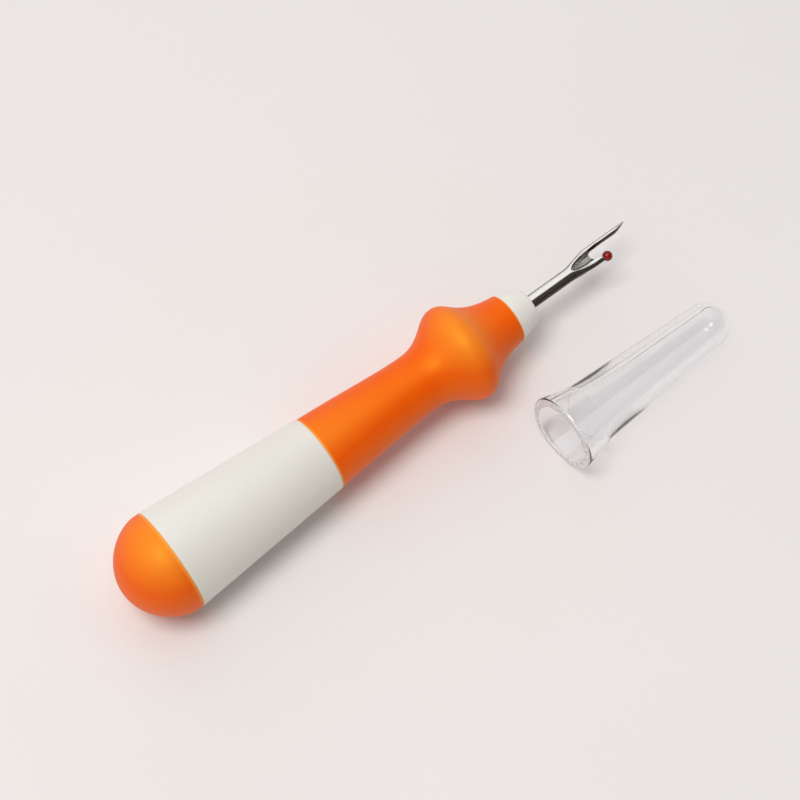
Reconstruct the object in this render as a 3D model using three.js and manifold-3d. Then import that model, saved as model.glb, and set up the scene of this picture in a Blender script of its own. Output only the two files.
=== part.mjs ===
// Thread cutter: a two-colour handle that holds a forked steel blade, with a ball on the
// fork's short prong, and the clear cap that is pulled off and lies beside the handle.
// Millimetres, +Z up. The handle's axis runs along +X, from the round butt to the blade.
// Stations are counted along that axis from the butt, and the blade's from the nose.

import * as THREE from 'three';
import { mergeVertices } from 'three/addons/utils/BufferGeometryUtils.js';
import Module from 'manifold-3d';

const wasm = await Module();
wasm.setup();

// Butt cap: a soft dome with a plug that snaps into the handle's hollow end
const BUTT_RADIUS = 11;
const DOME_LENGTH = 10;
const DOME_FULLNESS = 1.7;
const BUTT_BAND = 1.4;
const PLUG_LENGTH = 8;
const PLUG_WALL = 1.8;
const DOME_WALL = 3.6;
const PLUG_BEAD_COUNT = 2;
const PLUG_BEAD_HEIGHT = 0.4;
const PLUG_BEAD_WIDTH = 1.5;

// Hard body: a hollow cone behind, solid under the grip, ending in the nose
const BODY_LENGTH = 35.9;
const BODY_WALL = 2.2;
const BORE_LENGTH = 31;
const NOSE_LENGTH = 5.1;
const NOSE_RADIUS = 4.3;
const NOSE_ROUND = 0.5;
const NOSE_LIP = 0.05;

// Soft grip: a straight taper, a waist for the fingertips, a bulge, and a short cone in front
const GRIP_START_RADIUS = 8.3;
const GRIP_SETBACK = 0.15;
const TAPER_LENGTH = 25.4;
const TAPER_SLOPE = 0.06;
const WAIST_RADIUS = 6.4;
const WAIST_TO_BULGE = 10.8;
const BULGE_RADIUS = 10.8;
const BULGE_TO_FRONT = 12.75;
const GRIP_FRONT_RADIUS = 5.55;
const WAIST_EASE = 5.8;
const BULGE_EASE_BEHIND = 3.2;
const BULGE_EASE_AHEAD = 3.4;
const FRONT_RUN = 9.6;
const FRONT_RISE = 0.9;

// The surface where the grip is moulded on the body, with rings that lock the two together
const GRIP_WALL = 1.6;
const CORE_BULGE_RADIUS = 7.6;
const LOCK_RINGS = 3;
const LOCK_RING_HEIGHT = 0.7;
const LOCK_RING_WIDTH = 2.4;

// Blade: a round shank that is flattened into a fork, hollow-ground on both faces
const SHANK_RADIUS = 1.5;
const BLADE_LENGTH = 28.7;
const LONG_PRONG_LENGTH = 11.2;
const SHORT_PRONG_LENGTH = 2;
const NECK_TO_CROTCH = 6.5;
const FLARE_LENGTH = 6.8;
const FORK_THICKNESS = 1.4;
const LONG_EDGE = 2.75;
const SHORT_EDGE = 2;
const LONG_PRONG_WIDTH = 0.9;
const SHORT_PRONG_WIDTH = 0.9;
const SHORT_PRONG_ROOT = 1.3;
const SPEAR_LENGTH = 3.1;
const POINT_INSET = 0.1;
const POINT_WIDTH = 0.16;
const POINT_THICKNESS = 0.3;
const POINT_TAPER = 8;
const CORNER_FULLNESS = 3;
const GRIND_LENGTH = 12.1;
const GRIND_WIDTH = 3.2;
const GRIND_HEIGHT = 3;
const GRIND_AHEAD = 0.8;
const EDGE_WEB = 0.2;

// Tang: the shank's hidden end, flattened into two ears so that it can't turn or pull out
const TANG_LENGTH = 24;
const EAR_LENGTH = 7;
const EAR_WIDTH = 4.6;
const EAR_THICKNESS = 1.6;
const EAR_SLANT = 1.4;

// Ball on the short prong, which keeps the fork from snagging the cloth
const BALL_RADIUS = 1.1;
const PIN_RADIUS = 0.42;
const PIN_LENGTH = 1.55;

// Clear cap: a flared collar, a small step, a tapered tube and a round end
const CAP_LENGTH = 45.9;
const CAP_MOUTH_RADIUS = 8.37;
const CAP_MOUTH_BORE = 6.65;
const CAP_RIM_ROUND = 0.6;
const COLLAR_LENGTH = 7.1;
const COLLAR_RADIUS = 6.95;
const COLLAR_STEP = 0.22;
const CAP_END_RADIUS = 5;
const CAP_WALL = 1.3;

// Where the cap lies beside the handle
const CAP_STATION = 89;
const CAP_ASIDE = 25.96;
const CAP_YAW = THREE.MathUtils.degToRad(1.64);

// Clearances, seam chamfers and facets
const MOULD_GAP = 0.1;
const SEAM_CHAMFER = 0.2;
const HANDLE_SIDES = 40;
const CAP_SIDES = 36;
const SHANK_SIDES = 24;
const BALL_SIDES = 24;
const CURVE_STEPS = 8;
const DOME_STEPS = 9;
const ROUND_STEPS = 3;
const FLARE_STEPS = 8;
const SECTION_SIDES = 24;
const WELD_TOLERANCE = 1e-4;

// Stations that follow from the lengths
const BUTT_SEAM = DOME_LENGTH + BUTT_BAND;
const GRIP_START = BUTT_SEAM + BODY_LENGTH;
const WAIST = GRIP_START + TAPER_LENGTH;
const BULGE = WAIST + WAIST_TO_BULGE;
const GRIP_FRONT = BULGE + BULGE_TO_FRONT;
const NOSE_FRONT = GRIP_FRONT + NOSE_LENGTH;
const PLUG_END = BUTT_SEAM + PLUG_LENGTH;
const BORE_END = BUTT_SEAM + BORE_LENGTH;

// The blade's own stations, counted from the nose
const CROTCH = BLADE_LENGTH - LONG_PRONG_LENGTH;
const SHORT_PRONG_END = CROTCH + SHORT_PRONG_LENGTH;
const NECK = CROTCH - NECK_TO_CROTCH;

// Radii that follow: where the grip is bonded at its start, its waist and its front
const BOND_START_RADIUS = GRIP_START_RADIUS - GRIP_WALL;
const BOND_WAIST_RADIUS = WAIST_RADIUS - GRIP_WALL;
const BOND_FRONT_RADIUS = GRIP_FRONT_RADIUS - GRIP_WALL;
const NOSE_BASE_RADIUS = GRIP_FRONT_RADIUS - NOSE_LIP;
const AXIS_HEIGHT = Math.max(BUTT_RADIUS, BULGE_RADIUS);

const at = (station, radius) => new THREE.Vector2(station, radius);
const mix = THREE.MathUtils.lerp;

// Merges the shared vertices and drops the triangles that collapse on the axis
function weld(geometry) {
  geometry.deleteAttribute('normal');
  geometry.deleteAttribute('uv');
  const merged = mergeVertices(geometry, WELD_TOLERANCE);
  const corners = merged.index.array;
  const kept = [];
  for (let i = 0; i < corners.length; i += 3) {
    const [a, b, c] = corners.slice(i, i + 3);
    if (a !== b && b !== c && c !== a) kept.push(a, b, c);
  }
  merged.setIndex(kept);
  return merged;
}

// Turns a profile of (station, radius) points about the X axis
function turned(profile, sides) {
  const points = profile.map((p) => new THREE.Vector2(p.y, p.x));
  const lathe = new THREE.LatheGeometry(points, sides);
  lathe.rotateZ(-Math.PI / 2);
  return weld(lathe);
}

function toSolid(geometry) {
  const vertProperties = new Float32Array(geometry.attributes.position.array);
  const triVerts = new Uint32Array(geometry.index.array);
  return new wasm.Manifold(new wasm.Mesh({ numProp: 3, vertProperties, triVerts }));
}

function toGeometry(solid) {
  const mesh = solid.getMesh();
  const geometry = new THREE.BufferGeometry();
  geometry.setAttribute('position', new THREE.BufferAttribute(mesh.vertProperties, 3));
  geometry.setIndex(new THREE.BufferAttribute(mesh.triVerts, 1));
  return geometry;
}

function named(name, geometry, look) {
  const shaded = geometry.toNonIndexed();
  shaded.computeVertexNormals();
  const mesh = new THREE.Mesh(shaded, new THREE.MeshStandardMaterial(look));
  mesh.name = name;
  return mesh;
}

// A straight wall between two stations that carries evenly spaced beads with sloping flanks
function beadedWall(from, to, radiusAt, beads, beadWidth, beadHeight) {
  const points = [at(from, radiusAt(from))];
  const pitch = (to - from) / beads;
  const flank = beadWidth / 4;
  for (let i = 0; i < beads; i++) {
    const start = from + pitch * (i + 0.5) - beadWidth / 2;
    const top = radiusAt(start + beadWidth / 2) + beadHeight;
    points.push(at(start, radiusAt(start)));
    points.push(at(start + flank, top));
    points.push(at(start + beadWidth - flank, top));
    points.push(at(start + beadWidth, radiusAt(start + beadWidth)));
  }
  points.push(at(to, radiusAt(to)));
  return points;
}

const bodyRadius = (station) =>
  mix(BUTT_RADIUS, GRIP_START_RADIUS, (station - BUTT_SEAM) / BODY_LENGTH);
const boreRadius = (station) => bodyRadius(station) - BODY_WALL;

// The plug's wall, which the body's bore repeats, moved in by `gap`
function plugWall(gap) {
  const radiusAt = (station) => boreRadius(station) - gap;
  return beadedWall(
    BUTT_SEAM, PLUG_END, radiusAt, PLUG_BEAD_COUNT, PLUG_BEAD_WIDTH, PLUG_BEAD_HEIGHT);
}

// Level at the waist and on the bulge, then down to the front edge
function waistToFront(waistRadius, bulgeRadius, frontRadius) {
  const climb = new THREE.CubicBezierCurve(
    at(WAIST, waistRadius),
    at(WAIST + WAIST_EASE, waistRadius),
    at(BULGE - BULGE_EASE_BEHIND, bulgeRadius),
    at(BULGE, bulgeRadius),
  );
  const fall = new THREE.CubicBezierCurve(
    at(BULGE, bulgeRadius),
    at(BULGE + BULGE_EASE_AHEAD, bulgeRadius),
    at(GRIP_FRONT - FRONT_RUN, frontRadius + FRONT_RISE),
    at(GRIP_FRONT, frontRadius),
  );
  return [...climb.getPoints(CURVE_STEPS), ...fall.getPoints(CURVE_STEPS)];
}

// The bonded surface from the grip's start to its front, moved out by `gap`
function bondLine(gap) {
  const radiusAt = (station) =>
    mix(BOND_START_RADIUS, BOND_WAIST_RADIUS, (station - GRIP_START) / TAPER_LENGTH) + gap;
  return [
    ...beadedWall(GRIP_START, WAIST, radiusAt, LOCK_RINGS, LOCK_RING_WIDTH, LOCK_RING_HEIGHT),
    ...waistToFront(BOND_WAIST_RADIUS + gap, CORE_BULGE_RADIUS + gap, BOND_FRONT_RADIUS + gap),
  ];
}

function buttCapGeometry() {
  const dome = [];
  for (let i = 0; i <= DOME_STEPS; i++) {
    const turn = (i / DOME_STEPS) * (Math.PI / 2);
    const station = DOME_LENGTH * (1 - Math.cos(turn) ** (2 / DOME_FULLNESS));
    dome.push(at(station, BUTT_RADIUS * Math.sin(turn)));
  }
  const plugOutside = plugWall(MOULD_GAP);
  const plugRim = boreRadius(PLUG_END) - MOULD_GAP;
  const hollowRadius = plugRim - PLUG_WALL;
  return turned([
    ...dome,
    at(BUTT_SEAM - SEAM_CHAMFER, BUTT_RADIUS),
    at(BUTT_SEAM, BUTT_RADIUS - SEAM_CHAMFER),
    ...plugOutside,
    at(PLUG_END, hollowRadius),
    at(DOME_WALL + hollowRadius / 2, hollowRadius),
    at(DOME_WALL, hollowRadius / 2),
    at(DOME_WALL, 0),
  ], HANDLE_SIDES);
}

// A quarter round from the side of a body onto its flat end
function roundedEdge(endStation, radius, round) {
  const points = [];
  for (let i = 0; i <= ROUND_STEPS; i++) {
    const turn = (i / ROUND_STEPS) * (Math.PI / 2);
    const station = endStation - round * (1 - Math.sin(turn));
    points.push(at(station, radius - round * (1 - Math.cos(turn))));
  }
  return points;
}

// The tang, or with a gap the socket that it is moulded in. It reaches `ahead` of the nose.
function tangSolid(gap, ahead) {
  const length = TANG_LENGTH + gap + ahead;
  const radius = SHANK_RADIUS + gap;
  const shank = new THREE.CylinderGeometry(radius, radius, length, SHANK_SIDES);
  shank.rotateZ(-Math.PI / 2);
  shank.translate(ahead - length / 2, 0, 0);

  const back = -TANG_LENGTH - gap;
  const front = back + EAR_LENGTH + 2 * gap;
  const wide = EAR_WIDTH / 2 + gap;
  const narrow = SHANK_RADIUS / 2 + gap;
  const outline = new THREE.Shape();
  outline.moveTo(back, -narrow);
  outline.lineTo(back + EAR_SLANT, -wide);
  outline.lineTo(front - EAR_SLANT, -wide);
  outline.lineTo(front, -narrow);
  outline.lineTo(front, narrow);
  outline.lineTo(front - EAR_SLANT, wide);
  outline.lineTo(back + EAR_SLANT, wide);
  outline.lineTo(back, narrow);
  const depth = EAR_THICKNESS + 2 * gap;
  const ears = new THREE.ExtrudeGeometry(outline, { depth, bevelEnabled: false });
  ears.translate(0, 0, -depth / 2);
  return toSolid(weld(shank)).add(toSolid(weld(ears)));
}

function handleCoreGeometry() {
  const bore = plugWall(0).reverse();
  const blank = turned([
    at(BORE_END, 0),
    at(BORE_END, boreRadius(BORE_END) / 2),
    at(BORE_END - boreRadius(BORE_END) / 2, boreRadius(BORE_END)),
    ...bore,
    at(BUTT_SEAM, BUTT_RADIUS - SEAM_CHAMFER),
    at(BUTT_SEAM + SEAM_CHAMFER, bodyRadius(BUTT_SEAM + SEAM_CHAMFER)),
    at(GRIP_START - SEAM_CHAMFER, bodyRadius(GRIP_START - SEAM_CHAMFER)),
    at(GRIP_START, GRIP_START_RADIUS - SEAM_CHAMFER),
    ...bondLine(0),
    at(GRIP_FRONT, NOSE_BASE_RADIUS - SEAM_CHAMFER),
    at(GRIP_FRONT + SEAM_CHAMFER, NOSE_BASE_RADIUS),
    ...roundedEdge(NOSE_FRONT, NOSE_RADIUS, NOSE_ROUND),
    at(NOSE_FRONT, 0),
  ], HANDLE_SIDES);
  const socket = tangSolid(MOULD_GAP, MOULD_GAP).translate([NOSE_FRONT, 0, 0]);
  return toGeometry(toSolid(blank).subtract(socket));
}

function gripSleeveGeometry() {
  const startRadius = GRIP_START_RADIUS - GRIP_SETBACK;
  const taper = new THREE.CubicBezierCurve(
    at(GRIP_START + SEAM_CHAMFER, startRadius),
    at(GRIP_START + TAPER_LENGTH / 2, startRadius - TAPER_SLOPE * (TAPER_LENGTH / 2)),
    at(WAIST - TAPER_LENGTH / 4, WAIST_RADIUS),
    at(WAIST, WAIST_RADIUS),
  );
  const front = waistToFront(WAIST_RADIUS, BULGE_RADIUS, GRIP_FRONT_RADIUS);
  front.pop();
  const outside = [
    at(GRIP_START, startRadius - SEAM_CHAMFER),
    ...taper.getPoints(CURVE_STEPS),
    ...front,
    ...roundedEdge(GRIP_FRONT, GRIP_FRONT_RADIUS, SEAM_CHAMFER),
  ];
  const inside = bondLine(MOULD_GAP).reverse();
  return turned([...outside, ...inside, outside[0]], HANDLE_SIDES);
}

// A closed skin over rings of equal length, with a fan on each end
function loft(rings) {
  const sides = rings[0].length;
  const positions = rings.flat().flatMap((p) => [p.x, p.y, p.z]);
  const triangles = [];
  for (let r = 0; r < rings.length - 1; r++) {
    for (let s = 0; s < sides; s++) {
      const here = r * sides + s;
      const beside = r * sides + ((s + 1) % sides);
      triangles.push(here, beside, beside + sides);
      triangles.push(here, beside + sides, here + sides);
    }
  }
  const last = (rings.length - 1) * sides;
  for (let s = 1; s < sides - 1; s++) {
    triangles.push(0, s + 1, s);
    triangles.push(last, last + s, last + s + 1);
  }
  const geometry = new THREE.BufferGeometry();
  geometry.setAttribute('position', new THREE.Float32BufferAttribute(positions, 3));
  geometry.setIndex(triangles);
  return geometry;
}

// One section of the blade's blank, from round (fullness 2) to a rounded rectangle
function bladeSection(station, low, high, halfThickness, fullness) {
  const ring = [];
  const middle = (low + high) / 2;
  const reach = (high - low) / 2;
  for (let i = 0; i < SECTION_SIDES; i++) {
    const turn = (i / SECTION_SIDES) * 2 * Math.PI;
    const across = Math.sign(Math.cos(turn)) * Math.abs(Math.cos(turn)) ** (2 / fullness);
    const up = Math.sign(Math.sin(turn)) * Math.abs(Math.sin(turn)) ** (2 / fullness);
    ring.push(new THREE.Vector3(station, middle + reach * across, halfThickness * up));
  }
  return ring;
}

// The forged blank before its slot is cut: it flares from the shank and thins to the point
function bladeBlank() {
  const rings = [bladeSection(-SHANK_RADIUS, -SHANK_RADIUS, SHANK_RADIUS, SHANK_RADIUS, 2)];
  for (let i = 0; i <= FLARE_STEPS; i++) {
    const share = i / FLARE_STEPS;
    const ease = THREE.MathUtils.smoothstep(share, 0, 1);
    rings.push(bladeSection(
      NECK + FLARE_LENGTH * share,
      -mix(SHANK_RADIUS, SHORT_EDGE, ease),
      mix(SHANK_RADIUS, LONG_EDGE, ease),
      mix(SHANK_RADIUS, FORK_THICKNESS / 2, ease),
      mix(2, CORNER_FULLNESS, ease),
    ));
  }
  const thinning = BLADE_LENGTH - POINT_TAPER;
  const pointEdge = LONG_EDGE - POINT_INSET;
  rings.push(bladeSection(thinning, -SHORT_EDGE, LONG_EDGE, FORK_THICKNESS / 2, CORNER_FULLNESS));
  rings.push(bladeSection(BLADE_LENGTH, -SHORT_EDGE, pointEdge, POINT_THICKNESS / 2, 2));
  return toSolid(loft(rings));
}

// The gap between the prongs, with the spear's slant and all that lies past the short prong
function forkSlot() {
  const longInside = LONG_EDGE - LONG_PRONG_WIDTH;
  const rootInside = SHORT_PRONG_ROOT - SHORT_EDGE;
  const middle = (longInside + rootInside) / 2;
  const radius = (longInside - rootInside) / 2;
  const slant = (LONG_PRONG_WIDTH - POINT_INSET - POINT_WIDTH) / SPEAR_LENGTH;
  const past = BLADE_LENGTH + SHANK_RADIUS;
  const below = -SHORT_EDGE - SHANK_RADIUS;
  const outline = new THREE.Shape();
  outline.moveTo(past, longInside + slant * (past - BLADE_LENGTH + SPEAR_LENGTH));
  outline.lineTo(BLADE_LENGTH - SPEAR_LENGTH, longInside);
  outline.absarc(CROTCH + radius, middle, radius, Math.PI / 2, -Math.PI / 2, false);
  outline.lineTo(SHORT_PRONG_END, SHORT_PRONG_WIDTH - SHORT_EDGE);
  outline.lineTo(SHORT_PRONG_END, below);
  outline.lineTo(past, below);
  const depth = 4 * SHANK_RADIUS;
  const cutter = new THREE.ExtrudeGeometry(outline, {
    depth,
    bevelEnabled: false,
    curveSegments: CURVE_STEPS,
  });
  cutter.translate(0, 0, -depth / 2);
  return toSolid(weld(cutter));
}

// The round wheel's track on one face: it leaves a thin web, sharp at the crotch
function hollowGrind(face) {
  const wheel = new THREE.SphereGeometry(1, BALL_SIDES, CURVE_STEPS * 2);
  wheel.rotateZ(Math.PI / 2);
  wheel.scale(GRIND_LENGTH / 2, GRIND_WIDTH / 2, GRIND_HEIGHT / 2);
  wheel.translate(CROTCH + GRIND_AHEAD, 0, face * (EDGE_WEB + GRIND_HEIGHT) / 2);
  return toSolid(weld(wheel));
}

// The peened pin that carries the ball, or with a gap the hole for it
function ballPin(gap) {
  const length = PIN_LENGTH + gap;
  const radius = PIN_RADIUS + gap;
  const root = SHORT_PRONG_WIDTH / 2;
  const pin = new THREE.CylinderGeometry(radius, radius, length + root, SHANK_SIDES / 2);
  pin.rotateZ(-Math.PI / 2);
  pin.translate(SHORT_PRONG_END + (length - root) / 2, SHORT_PRONG_WIDTH / 2 - SHORT_EDGE, 0);
  return toSolid(weld(pin));
}

function forkBladeGeometry() {
  const blade = bladeBlank()
    .subtract(forkSlot())
    .subtract(hollowGrind(1))
    .subtract(hollowGrind(-1))
    .add(tangSolid(0, NECK))
    .add(ballPin(0));
  return toGeometry(blade);
}

function safetyBallGeometry() {
  const ball = new THREE.SphereGeometry(BALL_RADIUS, BALL_SIDES, CURVE_STEPS * 2);
  ball.rotateZ(Math.PI / 2);
  ball.translate(SHORT_PRONG_END + BALL_RADIUS + MOULD_GAP, SHORT_PRONG_WIDTH / 2 - SHORT_EDGE, 0);
  return toGeometry(toSolid(weld(ball)).subtract(ballPin(MOULD_GAP)));
}

// A quarter round that ends on the axis, for the outside or the inside of the cap's end
function roundEnd(centre, radius) {
  const points = [];
  for (let i = 0; i <= CURVE_STEPS; i++) {
    const turn = (i / CURVE_STEPS) * (Math.PI / 2);
    points.push(at(centre + radius * Math.sin(turn), radius * Math.cos(turn)));
  }
  return points;
}

// In the cap's own frame: +X from its mouth to its round end
function clearCapGeometry() {
  const endCentre = CAP_LENGTH - CAP_END_RADIUS;
  const rim = roundedEdge(0, CAP_MOUTH_RADIUS, CAP_RIM_ROUND);
  const mouth = rim.map((p) => at(-p.x, p.y)).reverse();
  const boreAtCollar = COLLAR_RADIUS - CAP_WALL;
  const boreAtEnd = CAP_END_RADIUS - CAP_WALL;
  return turned([
    ...roundEnd(endCentre, boreAtEnd).reverse(),
    at(COLLAR_LENGTH, boreAtCollar),
    at(SEAM_CHAMFER, CAP_MOUTH_BORE),
    at(0, CAP_MOUTH_BORE + SEAM_CHAMFER),
    ...mouth,
    at(COLLAR_LENGTH, COLLAR_RADIUS),
    at(COLLAR_LENGTH + COLLAR_STEP, COLLAR_RADIUS - COLLAR_STEP),
    ...roundEnd(endCentre, CAP_END_RADIUS),
  ], CAP_SIDES);
}

// The pitch at which the rim and the round end both touch a flat surface
function capPitch() {
  const length = CAP_LENGTH - CAP_END_RADIUS - CAP_RIM_ROUND;
  const drop = CAP_MOUTH_RADIUS - CAP_RIM_ROUND;
  const reach = Math.hypot(length, drop);
  return Math.atan2(drop, length) - Math.asin((CAP_END_RADIUS - CAP_RIM_ROUND) / reach);
}

const WHITE_PLASTIC = { color: 0xe6e5dc, roughness: 0.42, metalness: 0 };
const SOFT_ORANGE = { color: 0xf2711c, roughness: 0.6, metalness: 0 };
const STEEL = { color: 0xc9c7c4, roughness: 0.25, metalness: 1 };
const RED_BEAD = { color: 0xd01414, roughness: 0.15, metalness: 0 };
const CLEAR = { color: 0xeef2f4, roughness: 0.05, metalness: 0, transparent: true, opacity: 0.3 };

const blade = new THREE.Group();
blade.position.x = NOSE_FRONT;
blade.add(named('fork_blade', forkBladeGeometry(), STEEL));
blade.add(named('safety_ball', safetyBallGeometry(), RED_BEAD));

const tool = new THREE.Group();
tool.position.z = AXIS_HEIGHT;
tool.add(named('butt_cap', buttCapGeometry(), SOFT_ORANGE));
tool.add(named('handle_core', handleCoreGeometry(), WHITE_PLASTIC));
tool.add(named('grip_sleeve', gripSleeveGeometry(), SOFT_ORANGE));
tool.add(blade);

const cap = new THREE.Group();
cap.rotation.set(0, capPitch(), CAP_YAW, 'ZYX');
cap.position.set(CAP_STATION, -CAP_ASIDE, 0);
cap.add(named('clear_cap', clearCapGeometry(), CLEAR));
cap.position.z = -new THREE.Box3().setFromObject(cap, true).min.z;

// The origin is under the middle of the whole object, on the surface that it lies on
const group = new THREE.Group();
group.add(tool, cap);
const middle = new THREE.Box3().setFromObject(group, true).getCenter(new THREE.Vector3());
tool.position.x = -middle.x;
tool.position.y = -middle.y;
cap.position.x -= middle.x;
cap.position.y -= middle.y;

export default group;
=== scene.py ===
# %% [markdown]
# # Dressing a thread cutter and its clear cap
#
# A thread cutter slits stitches without harming the cloth. This one has a hard white body with
# a soft orange grip and butt, a steel fork with a red ball, and a clear cap that lies beside it.
# Its solids are already modelled in CAD. This lesson loads them as a fixed frame, makes each
# piece again with fine surfaces, gives it a finish, and lights the set as a small studio would.

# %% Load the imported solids
import bmesh
import bpy
import math
from mathutils import Matrix, Vector


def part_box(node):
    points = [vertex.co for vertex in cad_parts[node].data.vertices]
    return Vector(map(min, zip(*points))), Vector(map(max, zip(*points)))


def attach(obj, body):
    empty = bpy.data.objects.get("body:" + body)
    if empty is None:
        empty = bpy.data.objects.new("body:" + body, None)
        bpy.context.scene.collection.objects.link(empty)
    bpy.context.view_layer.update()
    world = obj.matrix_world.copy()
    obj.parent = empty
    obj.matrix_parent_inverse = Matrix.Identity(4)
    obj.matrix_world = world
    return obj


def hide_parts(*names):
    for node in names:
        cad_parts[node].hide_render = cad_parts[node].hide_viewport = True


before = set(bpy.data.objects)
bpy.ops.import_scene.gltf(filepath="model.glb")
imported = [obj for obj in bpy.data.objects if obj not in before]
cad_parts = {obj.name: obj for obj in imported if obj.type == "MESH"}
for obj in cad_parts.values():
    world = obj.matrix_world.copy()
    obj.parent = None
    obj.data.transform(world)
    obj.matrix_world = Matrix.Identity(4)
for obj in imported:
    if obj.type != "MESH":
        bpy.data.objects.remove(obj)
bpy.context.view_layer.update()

# %% [markdown]
# ## The camera
#
# The photograph looks steeply down at the tool from its lower left. Matching the outlines of
# the handle and the cap gave the camera's place. A lens of about 85 mm keeps both nearly free
# of perspective, as a product photographer would choose.

# %% Camera at the photograph's view
look_from = Vector((-0.09796, -0.11381, 0.36080))
look_at = Vector((0.00319, 0.01482, 0.0))
camera_data = bpy.data.cameras.new("camera")
camera_data.lens = 85.52
camera = bpy.data.objects.new("camera", camera_data)
camera.location = look_from
camera.rotation_euler = (look_at - look_from).to_track_quat("-Z", "Y").to_euler()
bpy.context.collection.objects.link(camera)
bpy.context.scene.camera = camera
print("camera stands", round((look_at - look_from).length, 3), "m from the tool")

# %% [markdown]
# ## The studio
#
# The room is a world shader, so it reaches the steel and the clear cap from every side. It is
# an even grey-white, with one band across it that the blade mirrors. The band is white cloth
# from the long prong's side up past the zenith, and black from there down, which draws the dark
# stripe along the steel. Under the cloth a dark gap is left, which outlines steel and clear
# plastic. A real flag would stand in the way of other views, and this doesn't. Apart from the
# edge's angle, places in this sky are given as cosines to an axis.

# %% World with a band of white cloth and black flag
CLOTH_LEVEL, ROOM_LEVEL, FLAG_LEVEL = 1.0, 0.50, 0.04
CLOTH_EDGE, CLOTH_BLUR = math.radians(10), 0.04
GAP_LOW, GAP_HIGH = 0.08, 0.14
BAND_LEAN, BAND_HALF, BAND_BLUR = 0.25, 0.30, 0.06
ROOM_TINT, FLAG_TINT = (1.0, 0.99, 0.98), (1.0, 0.85, 0.72)

scene = bpy.context.scene
scene.view_settings.view_transform = "Standard"
world = bpy.data.worlds.new("studio")
world.use_nodes = True
scene.world = world
sky = world.node_tree
sky.nodes.clear()


def add_node(tree, kind, **settings):
    """Adds a node and sets its properties. `inputs` maps input names or numbers to values."""
    node = tree.nodes.new(kind)
    for key, value in settings.pop("inputs", {}).items():
        node.inputs[key].default_value = value
    for key, value in settings.items():
        setattr(node, key, value)
    return node


def feed(tree, value, node, key):
    """Gives one input of a node a value, or links it to another node's socket."""
    if isinstance(value, bpy.types.NodeSocket):
        tree.links.new(value, node.inputs[key])
    else:
        node.inputs[key].default_value = value


def compute(tree, operation, *values, **settings):
    """A Math node on numbers or sockets."""
    node = add_node(tree, "ShaderNodeMath", operation=operation, **settings)
    for key, value in enumerate(values):
        feed(tree, value, node, key)
    return node.outputs[0]


def toward(tree, direction, low, high):
    """A mask of the sky, from its cosine to a direction: 0 at `low`, smoothly to 1 at `high`."""
    place = add_node(tree, "ShaderNodeTexCoord")
    facing = add_node(tree, "ShaderNodeVectorMath", operation="DOT_PRODUCT",
                      inputs={1: direction})
    step = add_node(tree, "ShaderNodeMapRange", interpolation_type="SMOOTHSTEP",
                    inputs={"From Min": low, "From Max": high})
    feed(tree, place.outputs["Generated"], facing, 0)
    feed(tree, facing.outputs["Value"], step, "Value")
    return step.outputs["Result"]


def blend_levels(tree, mask, first, second):
    """Mixes two grey levels, each a number or a socket, by a mask."""
    mixer = add_node(tree, "ShaderNodeMix", data_type="FLOAT")
    for key, level in ((0, mask), (2, first), (3, second)):
        feed(tree, level, mixer, key)
    return mixer.outputs[0]


def mix_colors(tree, mask, first, second):
    """Mixes two colours, each an RGB triple or a socket, by a mask."""
    mixer = add_node(tree, "ShaderNodeMix", data_type="RGBA")
    for key, color in ((0, mask), (6, first), (7, second)):
        feed(tree, (*color, 1) if isinstance(color, tuple) else color, mixer, key)
    return mixer.outputs[2]


sides = [toward(sky, (way, 0.0, 0.0), way * BAND_LEAN + BAND_HALF + BAND_BLUR,
                way * BAND_LEAN + BAND_HALF - BAND_BLUR) for way in (1, -1)]
band = compute(sky, "MULTIPLY", *sides)
cloth_way = (0.0, math.cos(CLOTH_EDGE), math.sin(CLOTH_EDGE))
cloth = compute(sky, "MULTIPLY", toward(sky, cloth_way, -CLOTH_BLUR, CLOTH_BLUR),
                toward(sky, (0.0, 0.0, 1.0), GAP_LOW, GAP_HIGH))
crossing = blend_levels(sky, cloth, FLAG_LEVEL, CLOTH_LEVEL)
room = blend_levels(sky, band, ROOM_LEVEL, crossing)
flag = compute(sky, "MULTIPLY", band, compute(sky, "SUBTRACT", 1.0, cloth))
background = add_node(sky, "ShaderNodeBackground")
world_out = add_node(sky, "ShaderNodeOutputWorld")
feed(sky, mix_colors(sky, flag, ROOM_TINT, FLAG_TINT), background, "Color")
feed(sky, room, background, "Strength")
feed(sky, background.outputs[0], world_out, "Surface")
print("world levels: cloth", CLOTH_LEVEL, "room", ROOM_LEVEL, "flag", FLAG_LEVEL)

# %% [markdown]
# One soft lamp gives about half of the light, and the room the rest. It hangs above the tool, a
# little towards its butt, so the handle is brightest along its top and its shadow stays close.
# The larger and nearer a lamp is, the softer its shadow.

# %% Soft box above the tool
softbox_data = bpy.data.lights.new("softbox", "AREA")
softbox_data.shape = "DISK"
softbox_data.size = 0.45
softbox_data.energy = 4.7
softbox_data.color = (1.0, 0.99, 0.975)
softbox = bpy.data.objects.new("softbox", softbox_data)
softbox.location = (-0.26, 0.06, 0.92)
softbox.rotation_euler = (look_at - softbox.location).to_track_quat("-Z", "Y").to_euler()
bpy.context.collection.objects.link(softbox)
print("soft box", softbox_data.energy, "W at", tuple(round(v, 2) for v in softbox.location))

# %% [markdown]
# ## The floor
#
# The tool lies on pale card. Card isn't flat in colour: it has faint clouds and a fine tooth.
# Both come from noise read in the object's own coordinates, so they stay put in every view.

# %% Card under the tool


def new_finish(name):
    """A material, its node tree and its Principled shader."""
    finish = bpy.data.materials.new(name)
    finish.use_nodes = True
    return finish, finish.node_tree, finish.node_tree.nodes["Principled BSDF"]


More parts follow.
